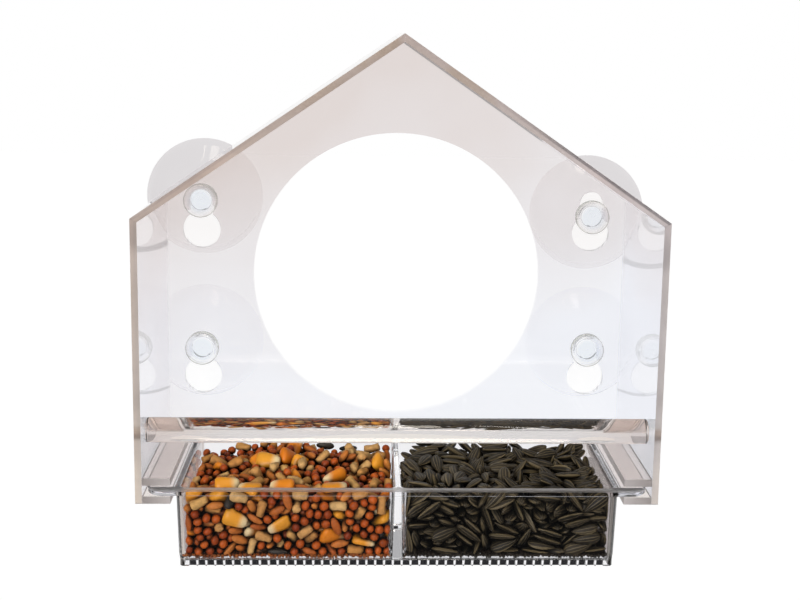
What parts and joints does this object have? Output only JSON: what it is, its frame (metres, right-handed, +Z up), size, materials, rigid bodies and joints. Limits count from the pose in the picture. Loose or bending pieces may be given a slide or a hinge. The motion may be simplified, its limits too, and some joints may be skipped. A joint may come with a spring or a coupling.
{
  "type": "window bird feeder",
  "caption": "Clear open-fronted house for a window pane, with a round viewing opening, a perch rod, a pull-out seed tray with a divider, and suction cups in keyholes.",
  "frame": {"origin": "middle of the four cup seats, on the plane of the window pane", "axes": "+Y into the window, +X to the right as seen from the front, +Z up"},
  "size_m": [0.193, 0.071, 0.1818],
  "materials": {
    "clear_sheet": "clear polished acrylic sheet with saw-cut edges",
    "clear_rod": "clear polished acrylic rod",
    "clear_moulding": "clear injection moulding",
    "soft_vinyl": "soft clear vinyl",
    "grain": "dry mixed grain",
    "sunflower": "dry striped sunflower seed"
  },
  "bodies": {
    "house": {"back_panel": "clear_sheet", "left_side_wall": "clear_sheet", "right_side_wall": "clear_sheet", "left_roof_panel": "clear_sheet", "right_roof_panel": "clear_sheet", "left_upper_rail": "clear_sheet", "left_lower_rail": "clear_sheet", "right_upper_rail": "clear_sheet", "right_lower_rail": "clear_sheet", "perch_rod": "clear_rod"},
    "tray": {"seed_tray": "clear_moulding", "mixed_grain": "grain", "sunflower_seed": "sunflower"},
    "cup_lower_left": {"suction_cup_lower_left": "soft_vinyl"},
    "cup_lower_right": {"suction_cup_lower_right": "soft_vinyl"},
    "cup_upper_left": {"suction_cup_upper_left": "soft_vinyl"},
    "cup_upper_right": {"suction_cup_upper_right": "soft_vinyl"}
  },
  "joints": [
    {"name": "tray_slide", "type": "slide", "parent": "house", "child": "tray", "axis": [0, -1, 0], "range_m": [0, 0.064]},
    {"name": "cup_slide_lower_left", "type": "slide", "parent": "house", "child": "cup_lower_left", "axis": [0, 0, 1], "range_m": [-0.0114, 0]},
    {"name": "cup_slide_lower_right", "type": "slide", "parent": "house", "child": "cup_lower_right", "axis": [0, 0, 1], "range_m": [-0.0114, 0]},
    {"name": "cup_slide_upper_left", "type": "slide", "parent": "house", "child": "cup_upper_left", "axis": [0, 0, 1], "range_m": [-0.0114, 0]},
    {"name": "cup_slide_upper_right", "type": "slide", "parent": "house", "child": "cup_upper_right", "axis": [0, 0, 1], "range_m": [-0.0064, 0.005]}
  ]
}
